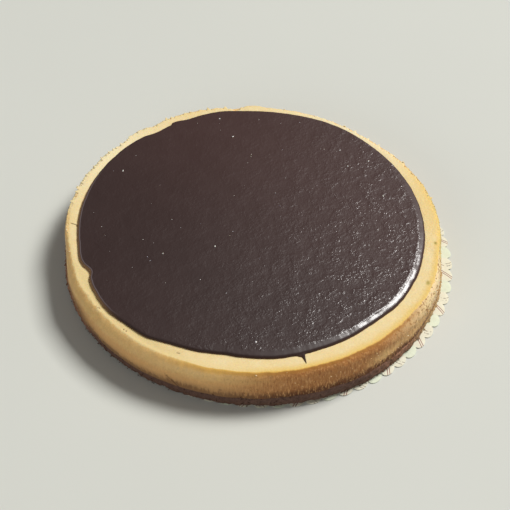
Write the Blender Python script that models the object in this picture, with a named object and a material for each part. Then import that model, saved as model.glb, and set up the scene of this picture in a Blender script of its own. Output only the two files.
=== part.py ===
"""Round baked cheesecake with a poured chocolate top, on a scalloped paper doily.

Units are metres. The origin is the centre of the cake on the underside of the doily, +Z is up
and the front of the cake faces -Y. Azimuths are in degrees, anticlockwise from +X.

From the bottom up the cake is a printed paper doily, a thin biscuit base, the baked cheese
filling with its rounded shoulder and flat rim, and a layer of chocolate set into that rim.
"""
import math

import bmesh
import bpy
from mathutils import Vector, noise

# Heights of the layers, and the clearance between one layer and the next
DOILY_THICKNESS = 0.0008
LAYER_GAP = 0.0003
CAKE_HEIGHT = 0.0265
BASE_HEIGHT = 0.0075
CHOCOLATE_PROUD = 0.0017
CHOCOLATE_SEAT_DEPTH = 0.0006

# Widths: the rim is the cheese just under its shoulder, the foot is the bottom of the cake
RIM_RADIUS = 0.1250
RIM_LOBE = 0.0012
RIM_LOBE_AZIMUTH = 110.0
FOOT_RADIUS = 0.1242
FOOT_SHIFT = 0.0017
FOOT_SHIFT_AZIMUTH = -45.0
FOOT_LOBE = 0.0008
FOOT_LOBE_AZIMUTH = -50.0
LOBES = 3

# Shoulder between the side and the flat rim, wider at the front left
SHOULDER = 0.0044
SHOULDER_SWING = 0.0014
SHOULDER_AZIMUTH = 225.0
SHOULDER_STEPS = 4
SIDE_SHARES = (0.4, 0.75)

# Chocolate: a disc poured a little off centre
CHOCOLATE_RADIUS = 0.1138
CHOCOLATE_OFFSET_X = -0.0012
CHOCOLATE_OFFSET_Y = 0.0037
CHOCOLATE_EDGE = 0.0012
CHOCOLATE_EDGE_STEPS = 3
CHOCOLATE_SLUMP = 0.0003
CHOCOLATE_SLUMP_WIDTH = 0.007

# Local swells and dents of each outline: azimuth, half width in degrees, height in metres
RIM_SWELLS = (
    (12.0, 12.0, -0.0004),
    (47.0, 9.0, -0.0013),
    (92.0, 3.5, 0.0014),
    (116.0, 12.0, 0.0010),
    (132.0, 4.0, 0.0018),
    (146.5, 4.0, 0.0013),
    (156.0, 7.0, 0.0012),
    (188.0, 7.0, -0.0018),
    (238.0, 16.0, 0.0012),
    (330.0, 12.0, 0.0010),
    (354.0, 13.0, -0.0029),
)
CHIP_TURN = 60.0
CHIP_DROP = 0.5
RIM_CHIPS = (
    (97.3, 2.6, -0.0036),
    (126.0, 2.2, -0.0009),
    (200.0, 2.4, -0.0008),
)
POUR_SWELLS = (
    (62.0, 14.0, 0.0016),
    (103.0, 6.0, 0.0012),
    (115.0, 2.5, -0.0010),
    (127.5, 4.5, -0.0022),
    (196.5, 4.0, 0.0012),
    (203.5, 2.6, -0.0026),
    (221.0, 13.0, 0.0038),
    (237.0, 6.0, 0.0022),
    (262.0, 7.0, -0.0016),
    (281.0, 8.0, 0.0007),
    (314.0, 8.0, -0.0010),
    (340.0, 6.0, 0.0006),
)

# Toe of chocolate that ran into a crack in the rim
DRIP_AZIMUTH = 286.0
DRIP_SPREAD = 0.75
DRIP_LENGTH = 0.0072
DRIP_HEIGHT = 0.0006
DRIP_SECTOR = 3.5
DRIP_CUTS = 3

# Relief of the baked sides
CRAG_HEIGHT = 0.00045
CRAG_SIZE = 0.011
CRUMB_HEIGHT = 0.0005
CRUMB_SIZE = 0.0035
BASE_CRAG_HEIGHT = 0.0007
CORNER = 0.0008

# Doily: a disc with a scalloped edge that lies off the middle of the cake
DOILY_TIP_RADIUS = 0.1270
DOILY_SCALLOPS = 74
DOILY_TURN = 0.6
DOILY_SCALLOP_DEPTH = 0.0030
DOILY_ARC_STEPS = 6
DOILY_OFFSET_X = 0.0070
DOILY_OFFSET_Y = 0.0015

SEGMENTS = 180
SHARP_ANGLE = 50.0

# Levels, from the underside of the doily up
BASE_BOTTOM = DOILY_THICKNESS + LAYER_GAP
BASE_TOP = BASE_BOTTOM + BASE_HEIGHT
CHEESE_BOTTOM = BASE_TOP + LAYER_GAP
RIM_LEVEL = BASE_BOTTOM + CAKE_HEIGHT
SEAT_LEVEL = RIM_LEVEL - CHOCOLATE_SEAT_DEPTH
CHOCOLATE_BOTTOM = SEAT_LEVEL + LAYER_GAP
CHOCOLATE_TOP = RIM_LEVEL + CHOCOLATE_PROUD


def turn_from(angle, azimuth):
    """Degrees, at most half a turn, from an azimuth to an angle in radians."""
    return (math.degrees(angle) - azimuth + 180.0) % 360.0 - 180.0


def swell(angle, places):
    """Sum of the local swells of an outline at an angle in radians."""
    total = 0.0
    for azimuth, spread, height in places:
        total += height * math.exp(-(turn_from(angle, azimuth) / spread) ** 2)
    return total


def lobed(angle, radius, lobe, azimuth):
    """Radius of a slightly three-cornered circle."""
    return radius + lobe * math.cos(LOBES * (angle - math.radians(azimuth)))


def blend(low, high, share):
    return low + (high - low) * share


def ease(share):
    """Smooth step from 0 to 1."""
    share = min(1.0, max(0.0, share))
    return share * share * (3.0 - 2.0 * share)


def relief(angle, height, size, radius=RIM_RADIUS):
    """Smooth noise between -1 and 1 on the side of the cake."""
    place = Vector((radius * math.cos(angle), radius * math.sin(angle), height)) / size
    return noise.noise(place)


def rim_radius(angle):
    return lobed(angle, RIM_RADIUS, RIM_LOBE, RIM_LOBE_AZIMUTH) + swell(angle, RIM_SWELLS)


def foot_radius(angle):
    shift = FOOT_SHIFT * math.cos(angle - math.radians(FOOT_SHIFT_AZIMUTH))
    return lobed(angle, FOOT_RADIUS, FOOT_LOBE, FOOT_LOBE_AZIMUTH) + shift


def shoulder_size(angle):
    return SHOULDER + SHOULDER_SWING * math.cos(angle - math.radians(SHOULDER_AZIMUTH))


def pour_radius(angle):
    """Edge of the chocolate, without its toe."""
    shift = CHOCOLATE_OFFSET_X * math.cos(angle) + CHOCOLATE_OFFSET_Y * math.sin(angle)
    return CHOCOLATE_RADIUS + shift + swell(angle, POUR_SWELLS)


def drip_reach(angle):
    """How far the toe runs out from the edge of the chocolate."""
    return swell(angle, ((DRIP_AZIMUTH, DRIP_SPREAD, DRIP_LENGTH),))


def side_radius(angle, level):
    """Side of the cake between its foot and the bottom of its shoulder."""
    share = ease((level - BASE_BOTTOM) / (RIM_LEVEL - SHOULDER - BASE_BOTTOM))
    plain = blend(foot_radius(angle), rim_radius(angle), share)
    return plain + CRAG_HEIGHT * relief(angle, level, CRAG_SIZE)


def cheese_side(level, inset=0.0):
    def ring(angle):
        return side_radius(angle, level) - inset, level
    return ring


def cheese_shoulder(turn):
    """Ring of the shoulder; turn is 0 at the side and 90 degrees on the rim."""
    def ring(angle):
        size = shoulder_size(angle)
        crumbs = CRUMB_HEIGHT * relief(angle, turn * size, CRUMB_SIZE) * math.sin(2.0 * turn)
        chip = swell(angle, RIM_CHIPS) * ease(turn / math.radians(CHIP_TURN))
        radius = side_radius(angle, RIM_LEVEL - size) - size * (1.0 - math.cos(turn)) + chip + crumbs
        level = RIM_LEVEL - size * (1.0 - math.sin(turn)) + CHIP_DROP * chip * math.cos(turn)
        return radius, level
    return ring


def cheese_seat(clearance, level):
    """Ring of the shallow seat that holds the chocolate and its toe."""
    def ring(angle):
        return pour_radius(angle) + drip_reach(angle) + clearance, level
    return ring


def base_side(level, inset):
    def ring(angle):
        crags = BASE_CRAG_HEIGHT * relief(angle, level, CRUMB_SIZE)
        return foot_radius(angle) + crags - inset, level
    return ring


def chocolate_foot(inset, level):
    """Lower rings of the chocolate, which follow the toe."""
    def ring(angle):
        return pour_radius(angle) + drip_reach(angle) - inset, level
    return ring


def chocolate_edge(turn):
    """Ring of the rounded edge; turn is 0 at the wall and 90 degrees on the top."""
    def ring(angle):
        radius = pour_radius(angle) - CHOCOLATE_EDGE * (1.0 - math.cos(turn))
        top = CHOCOLATE_TOP - CHOCOLATE_SLUMP
        return radius, top - CHOCOLATE_EDGE * (1.0 - math.sin(turn))
    return ring


def chocolate_top(inset):
    def ring(angle):
        return pour_radius(angle) - inset, CHOCOLATE_TOP
    return ring


def place_ring(verts, ring):
    """Move a loop of points to the radius and height that the ring gives at their angles."""
    for vert in verts:
        angle = math.atan2(vert.co.y, vert.co.x)
        radius, level = ring(angle)
        vert.co = (radius * math.cos(angle), radius * math.sin(angle), level)


def refine_drip(shape):
    """Give the loop more points where the toe of chocolate lies."""
    sector = []
    for edge in shape.edges:
        middle = (edge.verts[0].co + edge.verts[1].co) * 0.5
        if abs(turn_from(math.atan2(middle.y, middle.x), DRIP_AZIMUTH)) < DRIP_SECTOR:
            sector.append(edge)
    bmesh.ops.subdivide_edges(shape, edges=sector, cuts=DRIP_CUTS)


def stack_rings(name, rings, fine_drip=False):
    """Close a stack of rings into one solid, the first ring at the bottom."""
    shape = bmesh.new()
    bmesh.ops.create_circle(shape, cap_ends=False, segments=SEGMENTS, radius=1.0)
    if fine_drip:
        refine_drip(shape)
    place_ring(shape.verts, rings[0])
    loop = list(shape.edges)
    bmesh.ops.edgeloop_fill(shape, edges=loop)
    for ring in rings[1:]:
        made = bmesh.ops.extrude_edge_only(shape, edges=loop)["geom"]
        fresh = {item for item in made if isinstance(item, bmesh.types.BMVert)}
        place_ring(fresh, ring)
        edges = [item for item in made if isinstance(item, bmesh.types.BMEdge)]
        loop = [edge for edge in edges if set(edge.verts) <= fresh]
    bmesh.ops.edgeloop_fill(shape, edges=loop)
    bmesh.ops.recalc_face_normals(shape, faces=shape.faces)
    mesh = bpy.data.meshes.new(name)
    shape.to_mesh(mesh)
    shape.free()
    mesh.shade_smooth()
    mesh.set_sharp_from_angle(angle=math.radians(SHARP_ANGLE))
    return bpy.data.objects.new(name, mesh)


def make_cheese():
    side_top = RIM_LEVEL - SHOULDER - SHOULDER_SWING
    rings = [cheese_side(CHEESE_BOTTOM, CORNER), cheese_side(CHEESE_BOTTOM + CORNER)]
    rings += [cheese_side(blend(CHEESE_BOTTOM, side_top, share)) for share in SIDE_SHARES]
    for step in range(SHOULDER_STEPS + 1):
        rings.append(cheese_shoulder(math.radians(90.0) * step / SHOULDER_STEPS))
    rings.append(cheese_seat(LAYER_GAP + CHOCOLATE_SEAT_DEPTH, RIM_LEVEL))
    rings.append(cheese_seat(LAYER_GAP, SEAT_LEVEL))
    return stack_rings("cheese_filling", rings, fine_drip=True)


def make_base():
    rings = [
        base_side(BASE_BOTTOM, CORNER),
        base_side(BASE_BOTTOM + CORNER, 0.0),
        base_side(BASE_TOP - CORNER, 0.0),
        base_side(BASE_TOP, CORNER),
    ]
    return stack_rings("biscuit_base", rings)


def make_chocolate():
    rings = [
        chocolate_foot(0.0, CHOCOLATE_BOTTOM),
        chocolate_foot(DRIP_HEIGHT * 0.5, RIM_LEVEL + DRIP_HEIGHT),
    ]
    for step in range(CHOCOLATE_EDGE_STEPS + 1):
        rings.append(chocolate_edge(math.radians(90.0) * step / CHOCOLATE_EDGE_STEPS))
    rings.append(chocolate_top(CHOCOLATE_SLUMP_WIDTH))
    return stack_rings("chocolate_layer", rings, fine_drip=True)


def scallop_points():
    """Points of the doily's edge: one arc from notch to notch for each scallop."""
    pitch = 2.0 * math.pi / DOILY_SCALLOPS
    notch_radius = DOILY_TIP_RADIUS - DOILY_SCALLOP_DEPTH
    half_chord = notch_radius * math.sin(pitch / 2.0)
    depth = DOILY_TIP_RADIUS - notch_radius * math.cos(pitch / 2.0)
    arc_radius = (half_chord ** 2 + depth ** 2) / (2.0 * depth)
    half_sweep = math.asin(half_chord / arc_radius)
    centre_radius = DOILY_TIP_RADIUS - arc_radius
    points = []
    for scallop in range(DOILY_SCALLOPS):
        middle = (scallop + 0.5) * pitch + math.radians(DOILY_TURN)
        for step in range(DOILY_ARC_STEPS):
            turn = middle + half_sweep * (2.0 * step / DOILY_ARC_STEPS - 1.0)
            x = centre_radius * math.cos(middle) + arc_radius * math.cos(turn)
            y = centre_radius * math.sin(middle) + arc_radius * math.sin(turn)
            points.append((x, y))
    return points


def make_doily():
    points = scallop_points()
    outline = bpy.data.curves.new("paper_doily", "CURVE")
    outline.dimensions = "2D"
    outline.fill_mode = "BOTH"
    outline.extrude = DOILY_THICKNESS / 2.0
    outline.render_resolution_u = 0
    edge = outline.splines.new("POLY")
    edge.points.add(len(points) - 1)
    for point, (x, y) in zip(edge.points, points):
        point.co = (x, y, 0.0, 1.0)
    edge.use_cyclic_u = True
    doily = bpy.data.objects.new("paper_doily", outline)
    doily.location = (DOILY_OFFSET_X, DOILY_OFFSET_Y, DOILY_THICKNESS / 2.0)
    return doily


def add_material(piece, name, colour, roughness):
    """Give the piece its own plain material; colour is linear red, green and blue."""
    material = bpy.data.materials.new(name)
    material.use_nodes = True
    shader = material.node_tree.nodes["Principled BSDF"]
    shader.inputs["Base Color"].default_value = (*colour, 1.0)
    shader.inputs["Roughness"].default_value = roughness
    shader.inputs["Metallic"].default_value = 0.0
    material.diffuse_color = (*colour, 1.0)
    piece.data.materials.append(material)


def main():
    for item in list(bpy.data.objects):
        bpy.data.objects.remove(item)
    parts = bpy.data.collections.new("cheesecake")
    bpy.context.scene.collection.children.link(parts)
    layers = (
        (make_doily(), "doily_paper", (0.78, 0.72, 0.56), 0.75),
        (make_base(), "biscuit_crumb", (0.16, 0.075, 0.035), 0.85),
        (make_cheese(), "baked_cheese", (0.80, 0.56, 0.24), 0.55),
        (make_chocolate(), "poured_chocolate", (0.045, 0.028, 0.024), 0.3),
    )
    for piece, name, colour, roughness in layers:
        add_material(piece, name, colour, roughness)
        parts.objects.link(piece)


main()
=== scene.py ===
"""Looks of a round baked cheesecake with a poured chocolate top, on a printed paper doily.

Units are metres, +Z is up and the front of the cake faces -Y. Azimuths are in degrees,
anticlockwise from +X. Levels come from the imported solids, and every piece lies where its
solid lies.
"""

import math
import random

import bmesh
import bpy
from bpy.props import FloatProperty, FloatVectorProperty, IntProperty, PointerProperty
from mathutils import Matrix, Vector, noise


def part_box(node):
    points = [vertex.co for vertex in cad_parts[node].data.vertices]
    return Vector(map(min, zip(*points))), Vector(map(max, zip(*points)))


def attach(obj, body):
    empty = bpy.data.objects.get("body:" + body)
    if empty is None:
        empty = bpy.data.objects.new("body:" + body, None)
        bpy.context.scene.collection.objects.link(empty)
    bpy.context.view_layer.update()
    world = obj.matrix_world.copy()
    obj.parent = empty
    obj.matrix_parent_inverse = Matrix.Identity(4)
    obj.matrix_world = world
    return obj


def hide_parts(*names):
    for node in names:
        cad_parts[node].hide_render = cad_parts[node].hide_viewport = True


bl_info = {
    "name": "Baked Cheesecake Looks",
    "version": (1, 0, 0),
    "blender": (4, 5, 0),
    "location": "View3D > Sidebar > Cheesecake",
    "description": "Builds a baked cheesecake with a poured chocolate top on a paper doily",
    "category": "Object",
}

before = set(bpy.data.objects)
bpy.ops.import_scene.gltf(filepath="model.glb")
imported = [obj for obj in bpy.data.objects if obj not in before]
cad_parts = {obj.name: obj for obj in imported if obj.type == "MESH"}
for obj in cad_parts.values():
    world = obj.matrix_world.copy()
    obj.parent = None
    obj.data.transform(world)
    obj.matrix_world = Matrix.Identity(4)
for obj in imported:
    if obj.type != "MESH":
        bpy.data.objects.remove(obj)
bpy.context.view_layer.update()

# Levels of the layers, from the solids
DOILY_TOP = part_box("paper_doily")[1].z
BASE_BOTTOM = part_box("biscuit_base")[0].z
CHEESE_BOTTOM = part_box("cheese_filling")[0].z
RIM_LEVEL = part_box("cheese_filling")[1].z
CHOCOLATE_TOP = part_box("chocolate_layer")[1].z
CHOCOLATE_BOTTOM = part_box("chocolate_layer")[0].z

# Widths: the rim is the cheese just under its shoulder, the foot is the bottom of the cake
RIM_RADIUS = 0.1250
RIM_LOBE = 0.0012
RIM_LOBE_AZIMUTH = 110.0
FOOT_RADIUS = 0.1242
FOOT_SHIFT = 0.0017
FOOT_SHIFT_AZIMUTH = -45.0
FOOT_LOBE = 0.0008
FOOT_LOBE_AZIMUTH = -50.0
FOOT_SWELLS = ((345.0, 8.0, 0.0013),)
LOBES = 3

# Shoulder between the side and the flat rim, wider at the front left: an arc up to a crisp edge
SHOULDER = 0.0044
SHOULDER_SWING = 0.0014
SHOULDER_AZIMUTH = 225.0
EDGE_INSET = 0.70
EDGE_TILT = math.radians(59.0)
EDGE_SHARE = 0.8
EDGE_SPREAD = 0.0010
EDGE_ROUND = 0.00013
EDGE_REACH = 0.16
SHOULDER_LUMPS = 0.0004

# Hidden overlaps of the layers
SUNK_FOOT = 0.0004
RIM_OVERLAP = 0.0006
SEAT_INSET = 0.0008
HIDDEN_GAP = 0.0003

# Chocolate: a disc poured a little off centre
CHOCOLATE_RADIUS = 0.1138
CHOCOLATE_OFFSET_X = -0.0012
CHOCOLATE_OFFSET_Y = 0.0037

# Local swells and dents of each outline: azimuth, half width in degrees, height in metres
RIM_SWELLS = (
    (12.0, 12.0, -0.0004),
    (47.0, 9.0, -0.0013),
    (92.0, 3.5, 0.0014),
    (116.0, 12.0, 0.0010),
    (132.0, 4.0, 0.0018),
    (146.5, 4.0, 0.0013),
    (156.0, 7.0, 0.0012),
    (191.0, 9.0, -0.0022),
    (238.0, 16.0, 0.0012),
    (330.0, 12.0, 0.0010),
    (354.0, 13.0, -0.0029),
)
RIM_CHIPS = (
    (97.3, 2.6, -0.0036),
    (126.0, 2.2, -0.0009),
    (200.0, 2.4, -0.0008),
)
CHIP_DROP = 0.5
POUR_SWELLS = (
    (62.0, 14.0, 0.0016),
    (103.0, 6.0, 0.0012),
    (115.0, 2.5, -0.0010),
    (127.5, 4.5, -0.0022),
    (196.5, 4.0, 0.0012),
    (203.5, 2.6, -0.0026),
    (221.0, 13.0, 0.0038),
    (237.0, 6.0, 0.0022),
    (262.0, 7.0, -0.0016),
    (281.0, 8.0, 0.0007),
    (314.0, 8.0, -0.0008),
    (326.0, 9.0, 0.0010),
    (340.0, 6.0, 0.0006),
)

# Step of the pour at the back left: azimuth, half width in degrees, height, reach in degrees
POUR_STEP = (120.9, 0.30, 0.0016, 6.0)
POUR_WOBBLE = 0.00022

# The poured top stands a little above its solid. At the front right its edge slopes gently
# behind a steep wall, and elsewhere it drops at once: height and width of each part
POUR_CROWN = 0.0009
POUR_WALL = 0.0011
POUR_WALL_WIDTH = 0.00045
POUR_SLOPE_ROUND = 0.00045
TIGHT_WALL_WIDTH = 0.00035
GENTLE_AZIMUTH = -36.0
GENTLE_EDGES = ((GENTLE_AZIMUTH, 62.0, 1.0),)
WAVE_START = 0.004

# Toe of chocolate that ran into a crack in the rim: a broad root and a narrow tip
TOE_SWELLS = (
    (285.9, 0.85, 0.0014),
    (286.7, 0.38, 0.0066),
)
TOE_SECTOR = (286.2, 3.5, 3)

# Where the pale top reaches further down the shoulder, where the shoulder is sharper and where
# it is broader
PALE_EDGES = (
    (152.0, 22.0, 1.0),
    (2.0, 9.0, 0.35),
)
SHARPER_EDGES = ((176.0, 20.0, 0.72),)
BROAD_EDGES = (
    (232.0, 32.0, 0.0027),
    (325.0, 10.0, 0.0017),
)

# Where the rim is paler
CREAMY_EDGES = (
    (56.0, 28.0, 1.0),
    (146.0, 20.0, 1.0),
)

# Torn, toothed outer edge of the rim, where crumbs lie along it and where it only has teeth
CRUMBLING_EDGES = (
    (105.0, 14.0, 0.8),
    (140.0, 28.0, 1.0),
    (170.0, 12.0, 0.6),
)
TORN_EDGES = CRUMBLING_EDGES + (
    (214.0, 9.0, 0.22),
    (45.0, 30.0, 0.8),
    (10.0, 20.0, 0.6),
)
TOOTH_HEIGHT = 0.0042
TOOTH_SIZE = 0.0021
SPIKE_SIZE = 0.0011
NICK_DEPTH = 0.0006

# Crumbs that stand out from the rim's outer edge at the left and the back, by azimuth
LOOSE_CRUMBS = (
    16.7, 27.7, 33.5, 37.3, 56.6, 58.7, 70.0, 80.6,
    112.6, 120.4, 138.4, 142.6, 149.1, 160.7, 164.1, 183.4,
)
# Tint that lightens the rim crumbs: painted light on crumbs whose sides lie in shade
RIM_CRUMB_PAINTED_LIGHT = (1.0, 0.88, 0.62, 0.6)
NO_TINT = (0.0, 0.0, 0.0, 0.0)

# Tones up the side, smooth and browned, darker towards the foot: partly browner cheese, partly
# painted shade. Each stop: place on the ramp and a factor for each channel
SMOOTH_TONES_AND_FOOT_SHADE = (
    (0.05, 0.38, 0.33, 0.34),
    (0.32, 0.72, 0.67, 0.66),
    (0.77, 1.02, 0.97, 0.88),
    (1.0, 1.25, 1.36, 1.30),
)
BROWNED_TONES_AND_FOOT_SHADE = (
    (0.06, 0.24, 0.19, 0.20),
    (0.36, 0.90, 0.88, 0.88),
    (0.9, 1.0, 1.0, 1.0),
)

# Directions that the colours change towards, as azimuths
SEAM_AZIMUTH = 285.0
LIGHT_PATCH_AZIMUTH = 317.0
YELLOW_AZIMUTH = 17.0
SHADED_AZIMUTH = 262.0
LIT_AZIMUTH = 350.0
SOAK_AND_SHADOW_AZIMUTH = 187.0
LEE_AZIMUTH = -18.0
GLINT_AZIMUTH = -22.0
SHEEN_AZIMUTH = 50.0
LEFT_FILM_AND_LIGHT_AZIMUTH = 190.0
TANNED_AZIMUTH = 225.0

# Pale crumbs that stand out on the chocolate, by x and y; their near-white tint is partly pale crumb and
# partly painted glint
SPECK_SIZE = 0.0014
SPECK_TINT_AND_GLINT = (1.0, 0.97, 0.92, 1.0)
SPECKS = (
    (-0.0899, 0.0489),
    (-0.0571, -0.0280),
    (-0.0242, -0.0205),
    (-0.0263, 0.1066),
    (-0.0161, 0.0875),
    (0.0036, -0.0991),
    (0.0590, 0.0758),
    (0.0637, 0.0595),
    (0.0784, 0.0652),
    (0.0866, 0.0305),
)

# Relief of the baked sides and of the biscuit base, and how the base rounds in at its ends
CRAG_HEIGHT = 0.00045
CRAG_SIZE = 0.011
CRUMB_SIZE = 0.0035
BASE_CRAG = 0.0007
BASE_UNDERCUT = 0.0011
BASE_ROUND = 0.0008
BASE_OVERLAP = 0.0025

# Doily: a disc with a scalloped edge that lies off the middle of the cake
DOILY_TIP_RADIUS = 0.1270
DOILY_SCALLOPS = 74
SCALLOP_PITCH = math.tau / DOILY_SCALLOPS
SCALLOP_FADE = 0.006
DOILY_TURN = 0.6
DOILY_SCALLOP_DEPTH = 0.0030
DOILY_LEAN = 0.75
DOILY_CENTRE = Vector((0.0070, 0.0015, 0.0))
PETAL_INSET = 0.002
PETAL_WIDTH = 0.0017
PAPER_DROOP = 0.00035
DROOP_REACH = 0.003
PAPER_INSETS = (
    0.0, 0.0003, 0.0007, 0.0012, 0.0018, 0.0025, 0.0033, 0.0043, 0.0058, 0.0080, 0.0120,
)

# Marks on the cheese: two ends, as azimuth and radius on the rim and as azimuth and level on the
# side, then half width, depth, tint and its amount
PIT_BROWN = (0.13, 0.055, 0.018)
SCORCH_GOLD = (0.78, 0.38, 0.07)
HERB_OLIVE = (0.40, 0.31, 0.06)
RIM_MARKS = (
    ((180.4, 0.1195), (181.5, 0.1140), 0.00030, 0.0005, PIT_BROWN, 0.75),
    ((181.6, 0.1150), (181.8, 0.1138), 0.00075, 0.0002, PIT_BROWN, 0.9),
    ((229.6, 0.1182), (229.6, 0.1182), 0.00045, 0.0005, PIT_BROWN, 0.9),
    ((230.6, 0.1180), (230.6, 0.1180), 0.00045, 0.0004, PIT_BROWN, 0.9),
    ((247.9, 0.1150), (248.7, 0.1150), 0.00035, 0.0004, PIT_BROWN, 0.8),
    ((218.0, 0.1186), (218.4, 0.1186), 0.00040, 0.0003, PIT_BROWN, 0.7),
    ((176.0, 0.1224), (187.0, 0.1212), 0.00110, 0.0001, SCORCH_GOLD, 0.35),
    ((167.0, 0.1222), (168.5, 0.1218), 0.00100, 0.0001, SCORCH_GOLD, 0.40),
    ((337.7, 0.1198), (338.3, 0.1196), 0.00110, 0.0002, HERB_OLIVE, 0.95),
    ((355.2, 0.1192), (355.5, 0.1189), 0.00100, 0.0002, HERB_OLIVE, 0.95),
)
SIDE_MARKS = (
    ((246.6, 0.0178), (250.3, 0.0082), 0.00050, 0.0004, PIT_BROWN, 0.75),
    ((222.0, 0.0170), (222.0, 0.0170), 0.00050, 0.0003, PIT_BROWN, 0.5),
    ((262.0, 0.0150), (262.5, 0.0148), 0.00050, 0.0003, PIT_BROWN, 0.5),
    ((270.5, 0.0190), (270.5, 0.0190), 0.00045, 0.0003, PIT_BROWN, 0.6),
)

# Steps of the meshes. A sector with more points has its azimuth, half width and cuts
MILLIMETRE = 0.001
CHEESE_SEGMENTS = 1440
SIDE_STEPS = 20
SHOULDER_STEPS = 16
RIM_STEPS = 12
MARK_SECTORS = ((181.3, 1.4, 3), (248.6, 2.6, 1), (230.1, 1.2, 1))
CHOCOLATE_SEGMENTS = 960
CHOCOLATE_RINGS = 54
MIDDLE_SHARE = 0.004

# Rings of the chocolate's edge: inset and share of the toe up its wall, then growing steps
WALL_RINGS = ((0.0, 1.0), (0.0001, 0.95), (0.00024, 0.62), (0.0004, 0.12))
EDGE_ZONE = 0.0090
EDGE_STEPS = 14
EDGE_GROWTH = 1.6

BASE_SEGMENTS = 1440
BASE_STEPS = 12
SCALLOP_STEPS = 12
SHARP_ANGLE = 55.0

# Camera: where it stands and how it is turned, solved from the outlines of the cake
CAMERA_TARGET = Vector((0.0, 0.0, 0.0011))
CAMERA_DISTANCE = 0.80574
CAMERA_ELEVATION = 0.8111
CAMERA_PAN = -0.0021
CAMERA_TILT = 0.0002
CAMERA_ROLL = -0.0283
PICTURE_SIDE = 510
FOCAL_PIXELS = 1200.0
SENSOR_WIDTH = 36.0

# Stage: the lights and the air are a little warm
FLOOR_SIDE = 60.0
KEY_COLOUR = (1.0, 0.985, 0.96)
FILL_COLOUR = (1.0, 0.99, 0.98)
AIR_COLOUR = (1.0, 0.98, 0.96, 1.0)


def srgb(red, green, blue):
    """Linear colour of 8-bit screen values."""
    linear = []
    for value in (red, green, blue):
        share = value / 255.0
        linear.append(share / 12.92 if share <= 0.04045 else ((share + 0.055) / 1.055) ** 2.4)
    return tuple(linear)


def length(name, description, default, low=0.0, high=0.002, precision=5):
    return FloatProperty(
        name=name, description=description, default=default, min=low, soft_max=high,
        subtype="DISTANCE", unit="LENGTH", precision=precision,
    )


def count(name, description, default, high):
    return IntProperty(name=name, description=description, default=default, min=0, soft_max=high)


def colour(name, description, default):
    return FloatVectorProperty(
        name=name, description=description, default=default, min=0.0, max=1.0, subtype="COLOR",
    )


def power(name, description, default):
    return FloatProperty(name=name, description=description, default=default, min=0.0, unit="POWER")


def direction(name, description, degrees):
    return FloatProperty(
        name=name, description=description, default=math.radians(degrees),
        subtype="ANGLE", unit="ROTATION",
    )


class CheesecakeSizes(bpy.types.PropertyGroup):
    """Sizes of the finer shapes."""

    pit_depth: length("Side crumb depth", "Depth of the crumbs and pits of the browned side", 0.00042)
    streak_depth: length("Side streak depth", "Depth of the upright streaks along the front", 0.00022)
    rim_wave: length("Rim wave", "Height of the slow waves on the flat rim", 0.00018)
    base_crumb_depth: length("Biscuit crumb depth", "Depth of the crumbs of the biscuit base", 0.00055)
    pour_roll: length(
        "Chocolate roll", "How far in from its edge the chocolate rounds over", 0.0038, 0.0005, 0.02,
    )
    pour_wave: length("Chocolate wave", "Height of the slow waves on the chocolate", 0.00007)
    paper_thickness: length("Paper thickness", "Thickness of the doily's paper", 0.0003, 0.0001)
    paper_emboss: length("Paper emboss", "Height of the pressed petals along the doily's edge", 0.00008)
    rim_crumbs: count("Rim crumbs", "How many crumbs stand on the outer edge of the rim", 70, 1000)
    side_crumbs: count("Side crumbs", "How many crumbs stick to the browned side", 520, 2000)
    biscuit_crumbs: count("Biscuit crumbs", "How many crumbs stand out of the biscuit base", 900, 3000)
    specks: count("Specks", "How many tiny pale crumbs lie on the chocolate", 60, 500)


class CheesecakeColours(bpy.types.PropertyGroup):
    """Colours of the finishes."""

    rim: colour("Rim", "Pale baked cheese of the flat rim", srgb(241, 220, 168))
    gold: colour("Golden edge", "Yellow outer edge of the rim", srgb(236, 201, 116))
    side: colour("Smooth side", "Smooth tan side", srgb(217, 173, 115))
    browned: colour("Browned side", "Browned, streaked side", srgb(186, 128, 73))
    biscuit: colour("Biscuit", "Pressed biscuit crumb", srgb(141, 101, 77))
    chocolate: colour("Chocolate", "Poured chocolate", (0.0310, 0.0135, 0.0118))
    film: colour("Chocolate film", "Thin film of chocolate where it meets the rim", (0.12, 0.060, 0.022))
    paper: colour("Paper", "Cream paper of the doily", srgb(233, 231, 209))
    paper_tint: colour("Paper tint", "Pale green fields printed on the doily", srgb(225, 233, 209))
    print_red: colour("Print red", "Fine red-brown lines of the print", srgb(128, 22, 24))
    print_grey: colour("Print grey", "Fine dark lines of the print", srgb(104, 78, 60))
    floor: colour("Floor", "Plain pale floor", srgb(213, 215, 208))


class CheesecakeStudio(bpy.types.PropertyGroup):
    """Lights of the stage."""

    key_power: power("Key power", "Power of the soft main light", 705.0)
    key_width: length("Key width", "Side of the soft main light", 3.0, 0.01, 10.0, 2)
    key_distance: length("Key distance", "Distance of the main light from the cake", 8.0, 0.5, 20.0, 2)
    key_azimuth: direction("Key azimuth", "Direction that the main light comes from", 33.0)
    key_elevation: direction("Key elevation", "Height of the main light above the floor", 50.0)
    fill_power: power("Fill power", "Power of the low fill light", 20.0)
    fill_width: length("Fill width", "Side of the low fill light", 1.6, 0.01, 10.0, 2)
    fill_distance: length("Fill distance", "Distance of the fill light from the cake", 3.0, 0.5, 20.0, 2)
    fill_azimuth: direction("Fill azimuth", "Direction that the fill light comes from", 236.0)
    fill_elevation: direction("Fill elevation", "Height of the fill light above the floor", 20.0)
    ambient: FloatProperty(
        name="Ambient", description="Strength of the even light from all round", default=0.125, min=0.0,
    )


def turn_from(angle, azimuth):
    """Degrees, at most half a turn, from an azimuth to an angle in radians."""
    return (math.degrees(angle) - azimuth + 180.0) % 360.0 - 180.0


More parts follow.
